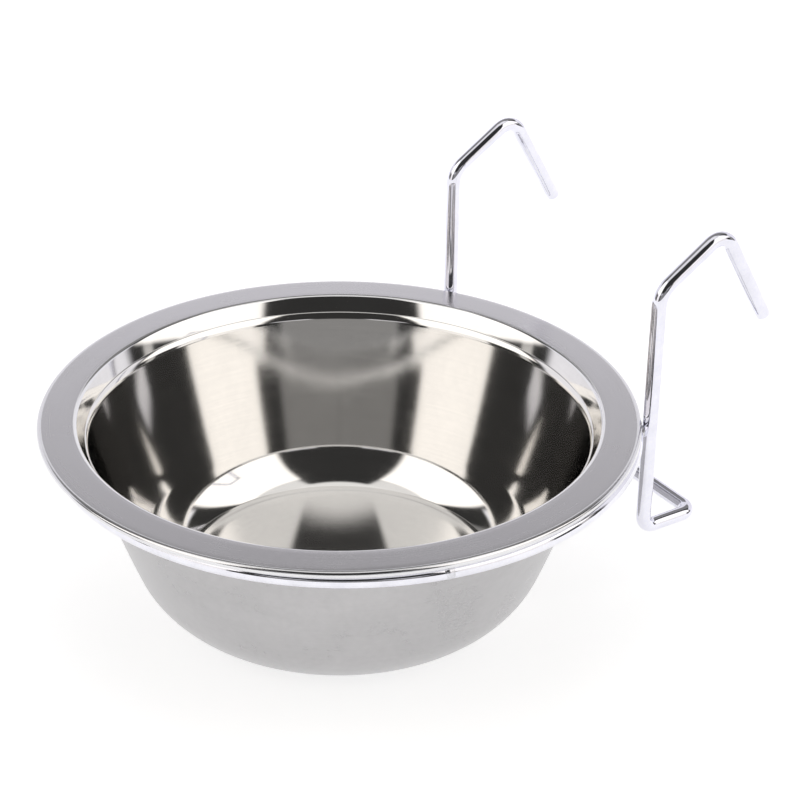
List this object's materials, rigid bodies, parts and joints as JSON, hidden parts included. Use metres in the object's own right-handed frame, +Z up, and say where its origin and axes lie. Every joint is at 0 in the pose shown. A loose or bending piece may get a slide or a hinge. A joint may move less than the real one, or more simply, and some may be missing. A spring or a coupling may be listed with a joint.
{
  "type": "hook-on cage bowl",
  "caption": "Flanged steel feeding bowl that drops into a wire ring holder with two hooks and a spacer bar for a cage wall",
  "frame": {"origin": "centre of the rail held by the two hooks, midway between them", "axes": "+Z up, +Y towards the cage wall, bowl on the -Y side, +X to the right seen from the bowl side"},
  "size_m": [0.16, 0.1856, 0.1029],
  "materials": {
    "bowl_steel": "satin flange and outside, polished inside",
    "holder_wire": "bright plated round wire",
    "weld": "plated weld, slightly duller"
  },
  "bodies": {
    "holder": {"support_ring": "holder_wire", "hanger_wire": "holder_wire", "weld_left": "weld", "weld_right": "weld", "ring_butt_weld": "weld"},
    "bowl": {"bowl": "bowl_steel"}
  },
  "joints": [
    {"name": "bowl_lift", "type": "slide", "parent": "holder", "child": "bowl", "axis": [0, 0, 1], "range_m": [0, 0.11]}
  ]
}
